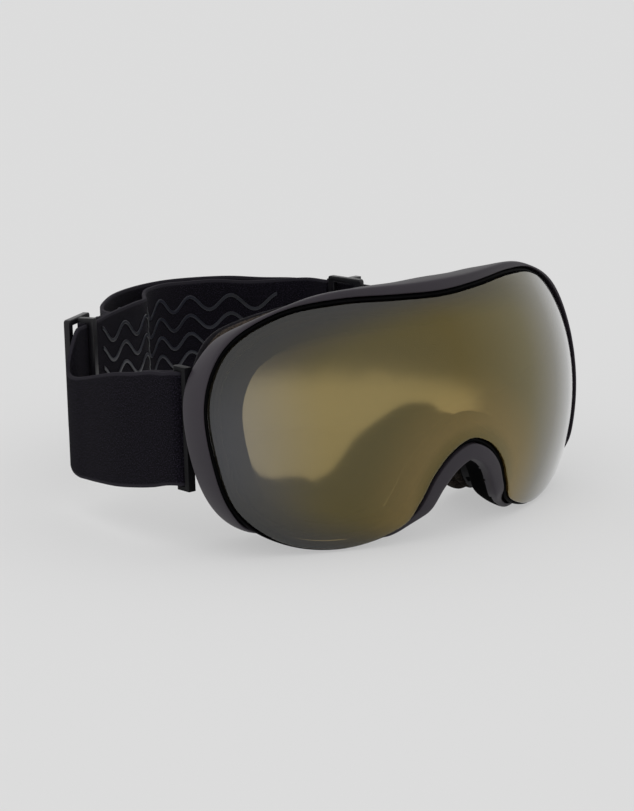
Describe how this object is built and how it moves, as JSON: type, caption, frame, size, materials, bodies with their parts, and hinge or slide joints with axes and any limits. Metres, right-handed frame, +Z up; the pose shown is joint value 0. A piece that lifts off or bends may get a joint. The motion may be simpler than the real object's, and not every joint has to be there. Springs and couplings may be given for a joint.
{
  "type": "snow goggles",
  "caption": "Snow goggles with a wide curved double lens, soft frame, layered face foam and a two-piece elastic head strap with ladder sliders.",
  "frame": {"origin": "middle of the face opening, in the plane where the forehead foam meets the face", "axes": "+Z up, -Y the way the wearer looks, so +Y runs back along the head strap; the wearer's right is on the -X side"},
  "size_m": [0.1728, 0.2003, 0.0866],
  "materials": {
    "frame_shell": "soft matt plum grey",
    "flange_rubber": "matt black soft moulding",
    "lens_mirror": "polished, olive with a silver flash coating",
    "lens_clear": "polished, clear with an anti-fog coat",
    "seal_foam": "matt closed-cell foam",
    "trim_rubber": "satin black",
    "vent_foam": "open-cell foam",
    "foam_firm": "grey-brown open-cell foam",
    "foam_soft": "soft grey-brown open-cell foam",
    "fleece": "short-pile fleece",
    "clip_plastic": "moulded, fine grain",
    "webbing": "woven elastic, near-black purple",
    "thread": "twisted thread",
    "silicone": "satin silicone",
    "slider_plastic": "moulded, satin"
  },
  "bodies": {
    "goggles": {"frame": "frame_shell", "flange": "flange_rubber", "lens_outer": "lens_mirror", "lens_inner": "lens_clear", "lens_spacer": "seal_foam", "lens_gasket": "trim_rubber", "vent_foam_top": "vent_foam", "vent_foam_bottom_right": "vent_foam", "vent_foam_bottom_left": "vent_foam", "foam_base": "foam_firm", "foam_soft": "foam_soft", "foam_fleece": "fleece", "strap_clip_right": "clip_plastic", "strap_clip_left": "clip_plastic", "strap_right": "webbing", "strap_left": "webbing", "stitching_right": "thread", "stitching_left": "thread", "grip_lines_right": "silicone", "grip_lines_left": "silicone"},
    "right_slider": {"slider_right": "slider_plastic", "strap_end_left": "webbing", "end_stitching_left": "thread"},
    "left_slider": {"slider_left": "slider_plastic", "strap_end_right": "webbing", "end_stitching_right": "thread"}
  },
  "joints": [
    {"name": "slider_right_slide", "type": "slide", "parent": "goggles", "child": "right_slider", "axis": [-0.866, -0.5, 0], "range_m": [0, 0.005]},
    {"name": "slider_left_slide", "type": "slide", "parent": "goggles", "child": "left_slider", "axis": [0.0802, -0.9968, 0], "range_m": [0, 0.005]}
  ]
}
